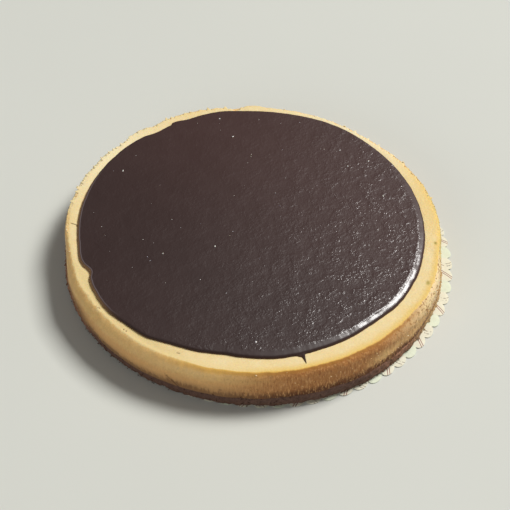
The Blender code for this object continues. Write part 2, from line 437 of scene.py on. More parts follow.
def swell(angle, places):
    """Sum of the local swells of an outline at an angle in radians."""
    total = 0.0
    for azimuth, spread, height in places:
        total += height * math.exp(-(turn_from(angle, azimuth) / spread) ** 2)
    return total


def lobed(angle, radius, lobe, azimuth):
    """Radius of a slightly three-cornered circle."""
    return radius + lobe * math.cos(LOBES * (angle - math.radians(azimuth)))


def blend(low, high, share):
    return low + (high - low) * share


def ease(share):
    """Smooth step from 0 to 1."""
    share = min(1.0, max(0.0, share))
    return share * share * (3.0 - 2.0 * share)


def shade_of(colour, red, green, blue):
    """Colour with each channel scaled, at most white."""
    return tuple(min(1.0, value * factor) for value, factor in zip(colour, (red, green, blue)))


def polar(angle, radius, level=0.0):
    return Vector((radius * math.cos(angle), radius * math.sin(angle), level))


def relief(angle, height, size, radius=RIM_RADIUS):
    """Smooth noise between -1 and 1 on the side of the cake."""
    return noise.noise(polar(angle, radius, height) / size)


def rim_radius(angle):
    return lobed(angle, RIM_RADIUS, RIM_LOBE, RIM_LOBE_AZIMUTH) + swell(angle, RIM_SWELLS)


def foot_radius(angle):
    shift = FOOT_SHIFT * math.cos(angle - math.radians(FOOT_SHIFT_AZIMUTH))
    return lobed(angle, FOOT_RADIUS, FOOT_LOBE, FOOT_LOBE_AZIMUTH) + shift + swell(angle, FOOT_SWELLS)


def shoulder_size(angle):
    plain = SHOULDER + SHOULDER_SWING * math.cos(angle - math.radians(SHOULDER_AZIMUTH))
    return plain * (1.0 - swell(angle, SHARPER_EDGES))


def shoulder_point(angle, share):
    """How far in from the side and down from the rim the shoulder lies.

    The share is 0 at the side, EDGE_SHARE at the crisp edge and 1 on the flat rim.
    """
    edge_inset = EDGE_INSET * shoulder_size(angle) + swell(angle, BROAD_EDGES)
    radius = edge_inset / (1.0 - math.cos(EDGE_TILT))
    turn = EDGE_TILT * min(1.0, share / EDGE_SHARE)
    beyond = EDGE_SPREAD * max(0.0, share - EDGE_SHARE) / (1.0 - EDGE_SHARE)
    drop = radius * (math.sin(EDGE_TILT) - math.sin(turn)) - beyond / math.tan(EDGE_TILT)
    drop = 0.5 * (drop + math.sqrt(drop * drop + 4.0 * EDGE_ROUND ** 2))
    return radius * (1.0 - math.cos(turn)) + beyond, drop


def pour_radius(angle):
    """Edge of the chocolate, without its toe."""
    shift = CHOCOLATE_OFFSET_X * math.cos(angle) + CHOCOLATE_OFFSET_Y * math.sin(angle)
    azimuth, spread, height, reach = POUR_STEP
    turn = turn_from(angle, azimuth)
    step = height * (ease(0.5 - 0.5 * turn / spread) - 0.5) * math.exp(-(turn / reach) ** 2)
    wobble = POUR_WOBBLE * (relief(angle, 0.3, 0.006) + 0.6 * relief(angle, 0.4, 0.0022))
    return CHOCOLATE_RADIUS + shift + swell(angle, POUR_SWELLS) + step + wobble


def side_radius(angle, level):
    """Side of the cake between its foot and the bottom of its shoulder."""
    share = ease((level - BASE_BOTTOM) / (RIM_LEVEL - SHOULDER - BASE_BOTTOM))
    plain = blend(foot_radius(angle), rim_radius(angle), share)
    return plain + CRAG_HEIGHT * relief(angle, level, CRAG_SIZE)


def browning(angle):
    """How browned and rough the side is: 0 at the smooth left, 1 at the front and the right."""
    start = ease((turn_from(angle, 270.0) + 14.0) / 28.0)
    end = 1.0 - ease((turn_from(angle, 36.0) + 20.0) / 40.0)
    turn = turn_from(angle, 335.0)
    return start * end if abs(turn) < 115.0 else 0.0


def crumbling(angle):
    """How crumbly the side is: most at the right."""
    return math.exp(-(turn_from(angle, 354.0) / 33.0) ** 2)


def side_relief(angle, level, sizes):
    """Finer relief of the side, outwards."""
    browned = browning(angle)
    crumbly = crumbling(angle)
    place = polar(angle, RIM_RADIUS, level)
    streaks = noise.noise(Vector((place.x / 0.0011, place.y / 0.0011, level / 0.0045)))
    lumps = noise.noise(place / 0.0026)
    grain = noise.noise(place / 0.0012 + Vector((7.0, 3.0, 1.0)))
    pits = min(0.0, lumps + 0.15) * 1.6
    rough = sizes.pit_depth * (pits + 0.5 * grain) * (0.18 + 0.30 * browned + 0.9 * crumbly)
    return rough + sizes.streak_depth * streaks * (0.15 + 0.85 * browned * (1.0 - crumbly))


def pale_reach(angle):
    """How far the pale top reaches down the shoulder."""
    return swell(angle, PALE_EDGES)


def creaminess(angle):
    """How much paler the rim is."""
    return swell(angle, CREAMY_EDGES)


def near(place, start, end, width):
    """1 on the line between two points, falling to 0 away from it."""
    along = end - start
    share = (place - start).dot(along) / along.length_squared if start != end else 0.0
    closest = start + along * min(1.0, max(0.0, share))
    return math.exp(-((place - closest).length / width) ** 2)


def mark_lines():
    """The marks as lines in space, with what each one does."""
    lines = []
    for start, end, *mark in RIM_MARKS:
        ends = [polar(math.radians(azimuth), radius, RIM_LEVEL) for azimuth, radius in (start, end)]
        lines.append((*ends, *mark))
    for start, end, *mark in SIDE_MARKS:
        ends = []
        for azimuth, level in (start, end):
            angle = math.radians(azimuth)
            ends.append(polar(angle, side_radius(angle, level), level))
        lines.append((*ends, *mark))
    return lines


def sunk_and_tinted(place, lines):
    """Depth of the marks at a point, and their tint with its amount."""
    depth = 0.0
    tint = Vector((0.0, 0.0, 0.0))
    amount = 0.0
    for start, end, width, sink, colour, strength in lines:
        if (place - start).length > 0.012 + (end - start).length:
            continue
        share = near(place, start, end, width)
        depth += sink * share
        tint = tint.lerp(Vector(colour), share * strength)
        amount = max(amount, share * strength)
    if amount > 0.001:
        tint /= max(amount, 0.001)
    return depth, (*(min(1.0, value) for value in tint), amount)


def refine_sector(shape, azimuth, spread, cuts):
    """Give a loop more points round an azimuth."""
    sector = []
    for edge in shape.edges:
        middle = (edge.verts[0].co + edge.verts[1].co) * 0.5
        if abs(turn_from(math.atan2(middle.y, middle.x), azimuth)) < spread:
            sector.append(edge)
    bmesh.ops.subdivide_edges(shape, edges=sector, cuts=cuts)


def stack_rings(segments, rings, sectors=(), turn=0.0):
    """Skin of a stack of rings, the first ring at the bottom.

    A ring gives, for an angle, the radius, the level and the place along the profile, which
    each point keeps as its profile attribute.
    """
    shape = bmesh.new()
    bmesh.ops.create_circle(shape, cap_ends=False, segments=segments, radius=1.0)
    bmesh.ops.rotate(shape, verts=shape.verts, cent=(0, 0, 0), matrix=Matrix.Rotation(turn, 3, "Z"))
    for sector in sectors:
        refine_sector(shape, *sector)
    profile = shape.verts.layers.float.new("profile")
    loop = list(shape.edges)
    fresh = list(shape.verts)
    for index, ring in enumerate(rings):
        if index:
            made = bmesh.ops.extrude_edge_only(shape, edges=loop)["geom"]
            fresh = {item for item in made if isinstance(item, bmesh.types.BMVert)}
            edges = [item for item in made if isinstance(item, bmesh.types.BMEdge)]
            loop = [edge for edge in edges if set(edge.verts) <= fresh]
        for vert in fresh:
            angle = math.atan2(vert.co.y, vert.co.x)
            radius, level, place = ring(angle)
            vert.co = polar(angle, radius, level)
            vert[profile] = place
        if index == 0:
            bmesh.ops.edgeloop_fill(shape, edges=loop)
    bmesh.ops.edgeloop_fill(shape, edges=loop)
    bmesh.ops.recalc_face_normals(shape, faces=shape.faces)
    return shape


def make_object(shape, name, slot):
    """The object of a skin, with its slot's material."""
    mesh = bpy.data.meshes.new(name)
    shape.to_mesh(mesh)
    shape.free()
    mesh.materials.append(finish(slot))
    made = bpy.data.objects.new(name, mesh)
    bpy.context.scene.collection.objects.link(made)
    return made


def finish_piece(shape, name, slot, node=None):
    """Make the piece from its skin and hang it in the frame."""
    piece = make_object(shape, name, slot)
    piece.data.shade_smooth()
    piece.data.set_sharp_from_angle(angle=math.radians(SHARP_ANGLE))
    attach(piece, "root")
    if node:
        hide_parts(node)


class Shading:
    """Adds nodes to one node tree and links them."""

    def __init__(self, tree):
        self.tree = tree

    def add(self, kind, inputs, output=0, **settings):
        made = self.tree.nodes.new(kind)
        for name, value in settings.items():
            setattr(made, name, value)
        for key, value in inputs.items():
            self.feed(made.inputs[key], value)
        return Value(self, made.outputs[output])

    def feed(self, socket, value):
        if isinstance(value, Value):
            self.tree.links.new(value.socket, socket)
        elif socket.type == "RGBA" and len(value) == 3:
            socket.default_value = (*value, 1.0)
        else:
            socket.default_value = value

    def maths(self, operation, first, second):
        return self.add("ShaderNodeMath", {0: first, 1: second}, operation=operation)

    def mix(self, share, low, high, blend_type="MIX"):
        made = self.tree.nodes.new("ShaderNodeMix")
        made.data_type = "RGBA"
        made.blend_type = blend_type
        sockets = [socket for socket in made.inputs if socket.enabled]
        for socket, value in zip(sockets, (share, low, high)):
            self.feed(socket, value)
        return Value(self, next(socket for socket in made.outputs if socket.enabled))

    def attribute(self, name, output="Fac"):
        return self.add("ShaderNodeAttribute", {}, output, attribute_name=name)

    def surface(self, inputs):
        """Feed the Principled node."""
        shader = self.tree.nodes["Principled BSDF"]
        for name, value in inputs.items():
            self.feed(shader.inputs[name], value)


class Value:
    """What a node gives: a number, a colour or a place. Sums of numbers read as sums."""

    def __init__(self, shading, socket):
        self.shading = shading
        self.socket = socket

    def other(self, output):
        """Another output of the same node."""
        return Value(self.shading, self.socket.node.outputs[output])

    def __add__(self, other):
        return self.shading.maths("ADD", self, other)

    def __sub__(self, other):
        return self.shading.maths("SUBTRACT", self, other)

    def __rsub__(self, other):
        return self.shading.maths("SUBTRACT", other, self)

    def __mul__(self, other):
        return self.shading.maths("MULTIPLY", self, other)

    def __truediv__(self, other):
        return self.shading.maths("DIVIDE", self, other)

    def __rtruediv__(self, other):
        return self.shading.maths("DIVIDE", other, self)

    def largest(self, other):
        return self.shading.maths("MAXIMUM", self, other)

    def size(self):
        """The number without its sign."""
        return self.shading.maths("ABSOLUTE", self, 0.0)

    def window(self, low, high, to_low=0.0, to_high=1.0, kind="SMOOTHSTEP"):
        """Share between two bounds, of this number between two others."""
        inputs = {"Value": self, "From Min": low, "From Max": high, "To Min": to_low, "To Max": to_high}
        return self.shading.add("ShaderNodeMapRange", inputs, interpolation_type=kind)

    def line(self, width):
        """1 where this number is near nought."""
        return self.size().window(width, width * 0.35)

    def ramp(self, colour, stops):
        """Shades of a colour along this number: each stop has its position and three factors."""
        made = self.shading.add("ShaderNodeValToRGB", {"Fac": self})
        elements = made.socket.node.color_ramp.elements
        while len(elements) < len(stops):
            elements.new(1.0)
        for element, (position, *factors) in zip(elements, stops):
            element.position = position
            element.color = (*shade_of(colour, *factors), 1.0)
        return made

    def mixed(self, share, colour, blend_type="MIX"):
        """This colour with a share of another one."""
        return self.shading.mix(share, self, colour, blend_type)

    def axis(self, name):
        return self.shading.add("ShaderNodeSeparateXYZ", {0: self}, name)

    def vector(self, operation, other=(0.0, 0.0, 0.0), output="Vector"):
        return self.shading.add("ShaderNodeVectorMath", {0: self, 1: other}, output, operation=operation)

    def towards(self, azimuth, low, high, to_low=0.0, to_high=1.0):
        """Share that grows along an azimuth, between two distances from the middle."""
        heading = tuple(polar(math.radians(azimuth), 1.0))
        return self.vector("DOT_PRODUCT", heading, "Value").window(low, high, to_low, to_high)

    def noise(self, size, detail=2.0, rough=0.5):
        """Noise between 0 and 1 whose lumps are about the given size in metres."""
        inputs = {"Vector": self, "Scale": 1.0 / size, "Detail": detail, "Roughness": rough}
        return self.shading.add("ShaderNodeTexNoise", inputs)

    def streaks(self, width, height, detail, rough):
        """Noise whose lumps stand upright."""
        return self.vector("DIVIDE", (width, width, height)).noise(1.0, detail, rough)

    def cells(self, size):
        inputs = {"Vector": self, "Scale": 1.0 / size, "Randomness": 1.0}
        return self.shading.add("ShaderNodeTexVoronoi", inputs)

    def group(self, name, **numbers):
        """A node group at this place."""
        inputs = {"Place": self, **numbers}
        return self.shading.add("ShaderNodeGroup", inputs, node_tree=bpy.data.node_groups[name])

    def bumps(self, depth):
        """Normals of a skin with this height."""
        return self.shading.add("ShaderNodeBump", {"Strength": 1.0, "Distance": depth, "Height": self})


def new_group(name, numbers, outputs):
    """A shader node group that reads a place and some numbers, its shading and its end nodes."""
    tree = bpy.data.node_groups.new(name, "ShaderNodeTree")
    tree.interface.new_socket("Place", in_out="INPUT", socket_type="NodeSocketVector")
    for way, sockets in (("INPUT", numbers), ("OUTPUT", outputs)):
        for socket in sockets:
            tree.interface.new_socket(socket, in_out=way, socket_type="NodeSocketFloat")
    shading = Shading(tree)
    start = tree.nodes.new("NodeGroupInput")
    given = [Value(shading, start.outputs[socket]) for socket in ("Place", *numbers)]
    return shading, tree.nodes.new("NodeGroupOutput").inputs, given


def make_mottling_group():
    """Soft uneven shade: broad clouds with smaller ones in them."""
    shading, wanted, (place, size) = new_group("Mottling", ("Size",), ("Shade",))
    shading.feed(wanted["Shade"], place.noise(size, 4.0, 0.55).window(0.32, 0.68))


def make_crumb_group():
    """Crumbs pressed together: their height, and a mask of the hollows between them that the materials
    darken as painted shade.
    """
    shading, wanted, (place, size) = new_group("Crumb", ("Size",), ("Height", "Pits"))
    height = place.noise(size, 5.0, 0.65) - place.cells(size) * 0.6
    shading.feed(wanted["Height"], height)
    shading.feed(wanted["Pits"], height.window(0.16, -0.06))


def make_pinhole_group():
    """Round dots scattered far apart: one in each cell, most of them left out."""
    shading, wanted, (place, spacing, radius) = new_group("Pinholes", ("Spacing", "Radius"), ("Dots",))
    cells = place.cells(spacing)
    chosen = shading.add("ShaderNodeSeparateColor", {0: cells.other("Color")})
    sized = radius / spacing * chosen.window(0.45, 1.0)
    shading.feed(wanted["Dots"], cells.window(sized + 0.0001, sized * 0.5))


def new_material(name):
    """The shading of a new material, and the place in Object coordinates."""
    material = bpy.data.materials.new(name)
    material.use_nodes = True
    shading = Shading(material.node_tree)
    return shading, shading.add("ShaderNodeTexCoord", {}, "Object")


def baked_cheese(colours):
    """Pale rim, golden shoulder, smooth tan or browned side, crumbly at the right."""
    shading, place = new_material("cheese_finish")
    profile, browned, crumbly, pale, creamy = (
        shading.attribute(name) for name in ("profile", "browned", "crumbly", "pale", "creamy")
    )
    level = place.axis("Z").window(CHEESE_BOTTOM, RIM_LEVEL - SHOULDER, kind="LINEAR")
    mottled = place.group("Mottling", Size=0.006)
    fine = place.noise(0.0011, 4.0, 0.65)
    streaks = place.streaks(0.0009, 0.0042, 3.0, 0.6)
    crumb = place.group("Crumb", Size=0.0016)

    # Side: smooth or browned along its height, with drips, streaks, painted shade at the far left, a
    # painted patch of light and crumbs
    jag = (streaks - 0.5) * 0.32 * level.window(0.55, 0.05, 1.0, 2.0)
    drips = place.streaks(0.0020, 0.014, 2.0, 0.6).window(0.38, 0.60)
    drips = drips * level.window(0.68, 0.10, 0.0, 0.36)
    climb = level + jag - drips * place.towards(TANNED_AZIMUTH, 0.084, 0.118, 0.25, 1.0)
    side = climb.ramp(colours.side, SMOOTH_TONES_AND_FOOT_SHADE)
    # Painted shade: the far left of the side is darkened, most below its middle
    painted_shade_left = place.axis("X").window(-0.090, -0.114, 0.0, 0.85) * level.window(1.05, 0.60)
    side = side.mixed(painted_shade_left, srgb(140, 100, 60))
    side = side.mixed(browned, climb.ramp(colours.browned, BROWNED_TONES_AND_FOOT_SHADE))
    side = side.mixed(streaks.window(0.50, 0.68) * browned * 0.60, srgb(228, 178, 118))
    side = side.mixed(streaks.window(0.46, 0.34) * browned * 0.65, srgb(150, 92, 50))
    # A painted patch of light on the right side
    painted_light_patch = place.towards(LIGHT_PATCH_AZIMUTH, 0.1205, 0.1245, 0.0, 0.85)
    painted_light_patch = painted_light_patch * climb.window(0.08, 0.40) * climb.window(1.05, 0.45)
    side = side.mixed(painted_light_patch * mottled.window(0.0, 0.8, 0.45, 1.0), srgb(236, 194, 132))
    # Crumb colour: lighter near the top and darker towards the foot, partly their own tone and partly
    # painted shade, with painted shade in their pits
    crumbs = shading.mix(crumbly.window(0.5, 0.95), srgb(222, 190, 134), srgb(246, 226, 190))
    crumbs = crumbs.mixed(level.window(0.62, 0.95, 0.0, 0.7), srgb(250, 224, 172))
    crumbs = crumbs.mixed(place.towards(YELLOW_AZIMUTH, 0.102, 0.115), srgb(209, 186, 113))
    crumbs = shading.mix(level.window(0.05, 0.45), srgb(198, 160, 102), crumbs)
    crumbs = crumbs.mixed(crumb.other("Pits"), srgb(158, 114, 62))
    crumb_share = (crumbly * 2.2 - 1.25 + level * 0.9).window(0.0, 1.0, kind="LINEAR")
    side = side.mixed(crumb_share * 0.95, crumbs)

    # Shoulder and rim: an amber seam, a golden edge and the pale flat rim
    wander = (place.noise(0.0028, 2.0, 0.6) - 0.5) * 0.30 + (fine - 0.5) * 0.12
    seam = place.towards(SEAM_AZIMUTH, 0.082, 0.110)
    calm = seam.window(0.0, 1.0, 1.0, 0.35, "LINEAR")
    upper = profile + wander * calm + pale * 0.8
    amber = shading.mix(browned, srgb(222, 174, 90), srgb(176, 121, 54))
    top = side.mixed(upper.window(1.50, 1.70, 0.0, 0.92) * seam, amber)
    edge = shading.mix(browned.window(0.0, 1.0, 0.30, 1.0), colours.rim, colours.gold)
    edge = edge.mixed(upper.window(1.93, 1.82) * seam, srgb(228, 182, 88))
    top = top.mixed(upper.window(1.74, 1.82), edge)
    rim = shading.mix(mottled * 0.55, colours.rim, shade_of(colours.rim, 0.99, 0.90, 0.74))
    rim = rim.mixed(place.towards(TANNED_AZIMUTH, 0.098, 0.112, 0.0, 0.8), srgb(226, 202, 144))
    keep_gold = place.towards(YELLOW_AZIMUTH, 0.104, 0.120, 1.0, 0.45)
    top = top.mixed(upper.window(1.90, 2.45) * keep_gold, rim)
    top = top.mixed(upper.window(1.72, 1.84) * creamy * 0.8, srgb(250, 235, 192))
    # A brown band along the chocolate's foot, wider at the left: partly chocolate soaked into the cheese,
    # partly painted shadow of the chocolate's edge
    wide_soak_and_shadow = profile.window(2.74, 2.95) * place.towards(SOAK_AND_SHADOW_AZIMUTH, 0.104, 0.112)
    soak_and_shadow = profile.window(2.93, 3.0).largest(wide_soak_and_shadow)
    top = top.mixed(soak_and_shadow * 0.75, srgb(150, 104, 62))

    # All over: fine grain, pinholes and the marks
    top = top.mixed(1.0, fine.window(0.25, 0.8, 0.90, 1.08, "LINEAR"), "MULTIPLY")
    dots = place.group("Pinholes", Spacing=0.0075, Radius=0.00042)
    top = top.mixed(dots * 0.40, srgb(168, 116, 66))
    tint = shading.attribute("tint", "Color")
    height = fine * 0.35 + crumb * (crumbly * 0.9 + browned * 0.25) - dots * 0.2
    shading.surface({
        "Base Color": top.mixed(tint.other("Alpha"), tint),
        "Roughness": (fine + browned * 0.3).window(0.3, 1.1, 0.42, 0.72, "LINEAR"),
        "Specular IOR Level": 0.25,
        "Subsurface Weight": 0.12,
        "Subsurface Radius": (1.0, 0.6, 0.25),
        "Subsurface Scale": 0.002,
        "Normal": height.bumps(0.00022),
    })


def poured_chocolate(colours):
    """Satin dark chocolate: fine ripple, thin brown film along its foot, tiny bubbles, painted sheen
    towards the back right and painted light along its left edge.
    """
    shading, place = new_material("chocolate_finish")
    profile = shading.attribute("profile")
    mottled = place.group("Mottling", Size=0.018)
    # Lighter brown towards the back right: painted sheen, with a little random mottle
    sheen_and_mottle = place.towards(SHEEN_AZIMUTH, -0.075, 0.09, 0.0, 0.92) + mottled * 0.08
    brown = shading.mix(sheen_and_mottle, colours.chocolate, shade_of(colours.chocolate, 1.72, 1.60, 1.55))
    # Towards the left the film is wider and lighter; the lighter tone is painted light on the wall, which
    # lies in shade
    left_film_and_light = place.towards(LEFT_FILM_AND_LIGHT_AZIMUTH, 0.090, 0.106)
    film = place.axis("Z").window(RIM_LEVEL + 0.0010, RIM_LEVEL + 0.00005)
    film = film.largest(left_film_and_light * profile.window(1.6, 0.2))
    brown = brown.mixed(film * 0.88, shading.mix(left_film_and_light, colours.film, (0.30, 0.17, 0.075)))
    # A pale line inside the film at the left is a painted highlight
    painted_highlight_line = profile.window(1.3, 1.6) * profile.window(2.2, 1.8) * left_film_and_light
    brown = brown.mixed(painted_highlight_line * 0.7, (0.175, 0.140, 0.148))
    bubbles = place.group("Pinholes", Spacing=0.011, Radius=0.00035)
    brown = brown.mixed(bubbles * 0.3, srgb(120, 98, 90))

    # Gloss: rougher towards the right and on the wall
    rough = profile.window(1.5, 0.7, 0.0, 0.35) + place.towards(LEE_AZIMUTH, -0.10, 0.09, 0.375, 0.55)
    rough = rough + mottled.window(0.0, 1.0, -0.015, 0.015)

    # Ripple, calm near the gentle edge, where short teeth break up the highlight
    ripple_share = place.towards(LEE_AZIMUTH, -0.04, 0.085, 0.42, 1.14)
    ripple_share = ripple_share * place.noise(0.008).window(0.35, 0.65, 0.55, 1.2)
    elsewhere = 1.0 - place.towards(GENTLE_AZIMUTH, 0.035, 0.075)
    ripple_share = ripple_share * profile.window(3.0, 5.8, 0.04, 1.0).largest(elsewhere)
    grit = place.vector("ADD", (0.3, 0.7, 0.1)).noise(0.0010, 1.0)
    ripple = place.noise(0.0023, 2.0, 0.55) + grit * 0.55
    flat = place.vector("MULTIPLY", (1.0, 1.0, 0.0))
    outward = shading.add("ShaderNodeCombineXYZ", {"Z": flat.vector("LENGTH", output="Value") / 0.006})
    wrap = flat.vector("NORMALIZE").vector("MULTIPLY", (130.0, 130.0, 0.0))
    teeth = wrap.vector("ADD", outward).noise(1.0, 2.0, 0.6)
    teeth_share = profile.window(6.0, 4.4) * profile.window(2.9, 4.3)
    teeth_share = teeth_share * place.towards(GLINT_AZIMUTH, 0.070, 0.098)
    height = ripple * ripple_share + teeth * teeth_share * 0.65 + bubbles * 0.5
    normals = height.bumps(0.00038)
    shading.surface({
        "Base Color": brown,
        "Roughness": rough,
        "Coat Weight": profile.window(0.8, 1.5, 0.0, 0.95),
        "Coat Roughness": 0.2,
        "Coat IOR": 1.5,
        "Normal": normals,
        "Coat Normal": normals,
    })


def biscuit_crumb(colours):
    """Pressed biscuit crumb, with painted shade at the front left and at its foot, and painted light at
    the right.
    """
    shading, place = new_material("biscuit_finish")
    crumb = place.group("Crumb", Size=0.0014)
    pits = crumb.other("Pits")
    pale = shade_of(colours.biscuit, 1.45, 1.45, 1.45)
    dark = shade_of(colours.biscuit, 0.45, 0.45, 0.45)
    brown = shading.mix(place.group("Mottling", Size=0.004), colours.biscuit, pale)
    # Painted shade in the hollows between the crumbs
    brown = brown.mixed(pits * 0.85, dark)
    # Painted shade towards the front left, where the cake's shade falls
    brown = brown.mixed(place.towards(SHADED_AZIMUTH, 0.070, 0.100, 0.0, 0.80), srgb(80, 58, 52))
    # Painted light towards the right, where the key light falls
    lit = place.towards(LIT_AZIMUTH, 0.1095, 0.1235, 0.0, 0.88)
    brown = brown.mixed(lit, shading.mix(pits, srgb(211, 176, 123), srgb(150, 106, 66)))
    # Painted shade at the foot, except where the painted light falls
    painted_foot_shade = place.axis("Z").window(BASE_BOTTOM + 0.0045, BASE_BOTTOM + 0.0005) * (1.0 - lit)
    shading.surface({
        "Base Color": brown.mixed(painted_foot_shade * 0.65, dark),
        "Roughness": 0.85,
        "Normal": crumb.bumps(0.0004),
    })


def doily_paper(colours):
    """Cream paper with pale green fields and fine red-brown and grey lines."""
    shading, place = new_material("paper_finish")
    own = place.vector("SUBTRACT", tuple(DOILY_CENTRE))
    azimuth = shading.maths("ARCTAN2", own.axis("Y"), own.axis("X"))
    phase = (azimuth - math.radians(DOILY_TURN)) * (DOILY_SCALLOPS / math.tau)
    thirds = shading.maths("FLOORED_MODULO", phase, 3.0)
    radius = own.vector("MULTIPLY", (1.0, 1.0, 0.0)).vector("LENGTH", output="Value")
    inset = DOILY_TIP_RADIUS - radius
    fibre = place.group("Mottling", Size=0.0025)

    # Every three scallops share a green field, a pair of red lines and a broken pair of grey ones
    paper = shading.mix((thirds - 0.5).size().window(0.62, 0.42), colours.paper, colours.paper_tint)
    arc_length = math.tau * DOILY_TIP_RADIUS / DOILY_SCALLOPS
    along = (thirds - 1.5) * arc_length
    slant = along - inset * 0.75
    pair = (slant + 0.0014).line(0.00042).largest((slant + 0.0031).line(0.00042))
    paper = paper.mixed(pair, colours.print_red)
    lean = along + (inset * 1.1 - inset * inset * 130.0)
    spray = (lean - arc_length).line(0.00044).largest((lean - (arc_length + 0.0021)).line(0.00044))
    spray = spray * place.noise(0.0016, 1.0).window(0.42, 0.56)
    paper = paper.mixed(spray * 0.85, colours.print_grey)
    shading.surface({
        "Base Color": paper.mixed(fibre * 0.12, srgb(200, 186, 160)),
        "Roughness": fibre.window(0.0, 1.0, 0.55, 0.7),
        "Normal": place.noise(0.0008).bumps(0.00004),
    })


def floor_paint(colours):
    """Plain pale floor with a barely uneven tone."""
    shading, place = new_material("floor_finish")
    darker = shade_of(colours.floor, 0.985, 0.985, 0.985)
    shading.surface({
        "Base Color": shading.mix(place.group("Mottling", Size=0.35), darker, colours.floor),
        "Roughness": 0.7,
        "Specular IOR Level": 0.2,
    })


FINISHES = {
    "baked_cheese": ("cheese_finish", baked_cheese),
    "poured_chocolate": ("chocolate_finish", poured_chocolate),
    "biscuit_crumb": ("biscuit_finish", biscuit_crumb),
    "doily_paper": ("paper_finish", doily_paper),
    "floor": ("floor_finish", floor_paint),
}


def finish(slot):
    """The slot's material, made the first time that it is asked for."""
    name, make = FINISHES[slot]
    if name not in bpy.data.materials:
        make(bpy.context.scene.cheesecake_colours)
    return bpy.data.materials[name]


def side_ring(share, sizes):
    """Ring of the cheese's side; share is 0 at its foot and 1 at its shoulder."""
    def ring(angle):
        top = RIM_LEVEL - shoulder_point(angle, 0.0)[1]
        level = blend(CHEESE_BOTTOM - SUNK_FOOT, top, share)
        return side_radius(angle, level) + side_relief(angle, level, sizes), level, share
    return ring


def shoulder_ring(share, sizes):
    """Ring of the shoulder; share is 0 at the side and 1 on the flat rim."""
    def ring(angle):
        inset, drop = shoulder_point(angle, share)
        height = shoulder_point(angle, 0.0)[1]
        lumps = SHOULDER_LUMPS * relief(angle, share * height, CRUMB_SIZE) * math.sin(math.pi * share)
        chip = swell(angle, RIM_CHIPS) * ease(1.5 * share)
        rough = side_relief(angle, RIM_LEVEL - drop, sizes) * (1.0 - ease(share / EDGE_SHARE))
        at_edge = math.exp(-((share - EDGE_SHARE) / EDGE_REACH) ** 2)
        torn = swell(angle, TORN_EDGES)
        nick = NICK_DEPTH * min(0.0, relief(angle, 0.5, TOOTH_SIZE) + 0.05) * min(1.0, 0.25 + torn)
        spikes = max(0.0, relief(angle, 0.7, TOOTH_SIZE)) + 0.7 * max(0.0, relief(angle, 0.9, SPIKE_SIZE))
        tooth = TOOTH_HEIGHT * torn * (spikes - 0.15)
        radius = side_radius(angle, RIM_LEVEL - height) - inset + chip + lumps + rough
        level = RIM_LEVEL - drop + CHIP_DROP * chip * (1.0 - share)
        level += (nick + 0.3 * min(0.0, tooth)) * at_edge
        return radius + (nick + tooth) * at_edge, level, 1.0 + share
    return ring


def rim_ring(share, sizes):
    """Ring of the flat rim; share is 0 at the shoulder and 1 at the chocolate."""
    edge = shoulder_ring(1.0, sizes)

    def ring(angle):
        outer, level, _ = edge(angle)
        radius = blend(outer, pour_radius(angle) - RIM_OVERLAP, share)
        place = polar(angle, radius)
        wave = noise.noise(place / 0.012) + 0.45 * noise.noise(place / 0.004)
        level = blend(level, RIM_LEVEL, ease(4.0 * share)) + sizes.rim_wave * wave * ease(3.0 * share)
        return radius, level, 2.0 + share
    return ring


def seat_ring(angle):
    """Innermost ring of the cheese, hidden by the chocolate."""
    return pour_radius(angle) - SEAT_INSET, CHOCOLATE_BOTTOM - HIDDEN_GAP, 3.0


def mark_cheese(shape):
    """Press the marks into the cheese, and keep what its material reads at each point."""
    layers = shape.verts.layers
    tint = layers.float_color.new("tint")
    fields = (("browned", browning), ("pale", pale_reach), ("creamy", creaminess), ("crumbly", crumbling))
    for name, _ in fields:
        layers.float.new(name)
    lines = mark_lines()
    shape.normal_update()
    for vert in shape.verts:
        angle = math.atan2(vert.co.y, vert.co.x)
        depth, vert[tint] = sunk_and_tinted(vert.co, lines)
        for name, field in fields:
            vert[layers.float[name]] = field(angle)
        if depth > 0.0:
            vert.co -= vert.normal * depth


class CHEESECAKE_OT_bake_cheese(bpy.types.Operator):
    """Build the baked cheese with its shoulder, rim, marks and browned side"""

    bl_idname = "cheesecake.bake_cheese"
    bl_label = "Bake Cheese"

    def execute(self, context):
        sizes = context.scene.cheesecake_sizes
        rings = [side_ring(step / SIDE_STEPS, sizes) for step in range(SIDE_STEPS)]
        for step in range(SHOULDER_STEPS):
            share = math.sin(math.radians(90.0) * step / SHOULDER_STEPS)
            rings.append(shoulder_ring(share, sizes))
        rings += [rim_ring(step / RIM_STEPS, sizes) for step in range(RIM_STEPS + 1)]
        shape = stack_rings(CHEESE_SEGMENTS, rings + [seat_ring], MARK_SECTORS)
        mark_cheese(shape)
        finish_piece(shape, "cheese_body", "baked_cheese", "cheese_filling")
        return {"FINISHED"}


def pour_top(place):
    """Level of the poured top, highest at the front right."""
    across = place.dot(polar(math.radians(GENTLE_AZIMUTH), 1.0)) / CHOCOLATE_RADIUS
    return CHOCOLATE_TOP + POUR_CROWN * ease(0.5 + 0.5 * across)


def pour_drop(angle, inset, sizes):
    """How far the chocolate lies below its top, at a distance in from its edge."""
    height = pour_top(polar(angle, CHOCOLATE_RADIUS)) - RIM_LEVEL
    reach = sizes.pour_roll * (1.0 + 0.22 * relief(angle, 0.0, 0.009))
    slope = (height - POUR_WALL) / reach
    bend = math.log1p(math.exp(min(50.0, (reach - inset) / POUR_SLOPE_ROUND)))
    gentle = POUR_WALL * math.exp(-inset / POUR_WALL_WIDTH) + slope * POUR_SLOPE_ROUND * bend
    tight = height * math.exp(-inset / TIGHT_WALL_WIDTH)
    return blend(tight, gentle, swell(angle, GENTLE_EDGES))


